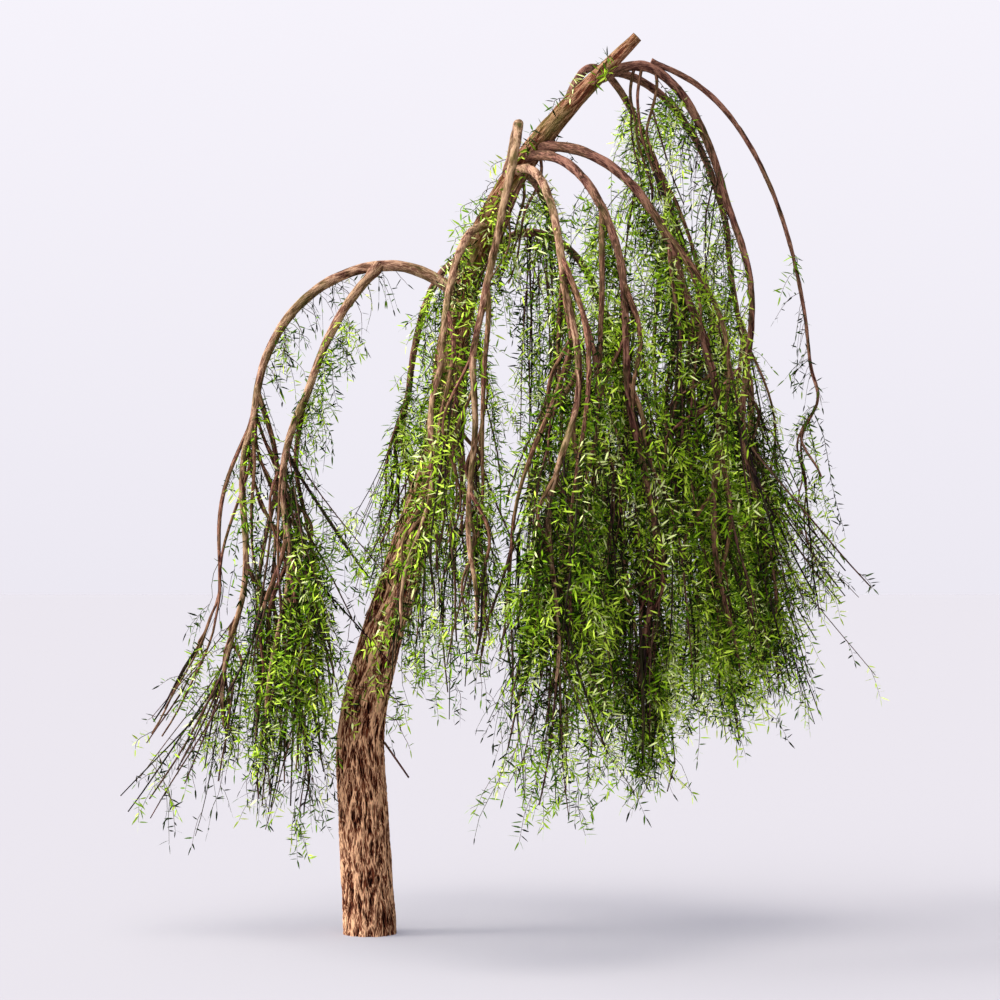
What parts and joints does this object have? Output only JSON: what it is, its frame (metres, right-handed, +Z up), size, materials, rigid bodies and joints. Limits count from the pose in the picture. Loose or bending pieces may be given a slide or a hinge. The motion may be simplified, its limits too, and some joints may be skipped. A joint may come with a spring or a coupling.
{
  "type": "weeping willow tree",
  "caption": "Weeping willow tree with a leaning bare trunk, arching boughs and hanging curtains of narrow green leaves, cut flat at ground level.",
  "frame": {"origin": "centre of the flat cut under the trunk, at ground level", "axes": "+Z up; +X towards the side the tree leans to; +Y towards its back"},
  "size_m": [5.3236, 4.1552, 6.3993],
  "materials": {
    "trunk_bark": "rough, ridged reddish-brown bark with dark furrows and tan crests",
    "bough_bark": "dull reddish-brown bark with shallow ridges, darker and greener towards the ends",
    "foliage": "narrow yellow-green leaves on thin dark hanging twigs"
  },
  "bodies": {
    "root": {"trunk": "trunk_bark", "back_arch_bough_fall": "bough_bark", "back_arch_bough_rise": "bough_bark", "back_high_bough": "bough_bark", "back_left_bough": "bough_bark", "back_loop_bough_fall": "bough_bark", "back_loop_bough_rise": "bough_bark", "back_middle_bough": "bough_bark", "front_bough": "bough_bark", "front_left_bough": "bough_bark", "front_loop_bough_fall": "bough_bark", "front_loop_bough_rise": "bough_bark", "front_right_bough": "bough_bark", "left_bough_fall": "bough_bark", "left_bough_rise": "bough_bark", "left_inner_bough": "bough_bark", "right_back_bough": "bough_bark", "right_front_bough": "bough_bark", "right_outer_bough": "bough_bark", "right_top_bough_fall": "bough_bark", "right_top_bough_rise": "bough_bark", "back_arch_curtain": "foliage", "back_curtain": "foliage", "back_left_curtain": "foliage", "back_middle_curtain": "foliage", "back_right_curtain": "foliage", "front_curtain": "foliage", "front_loop_curtain": "foliage", "front_right_curtain": "foliage", "left_back_curtain": "foliage", "left_fan_spray": "foliage", "left_inner_curtain": "foliage", "left_outer_curtain": "foliage", "right_back_curtain": "foliage", "right_curtain": "foliage", "right_front_curtain": "foliage", "right_outer_curtain": "foliage", "trunk_side_curtain": "foliage", "trunk_spray": "foliage", "upper_spray": "foliage", "upper_trunk_spray": "foliage"}
  },
  "joints": []
}
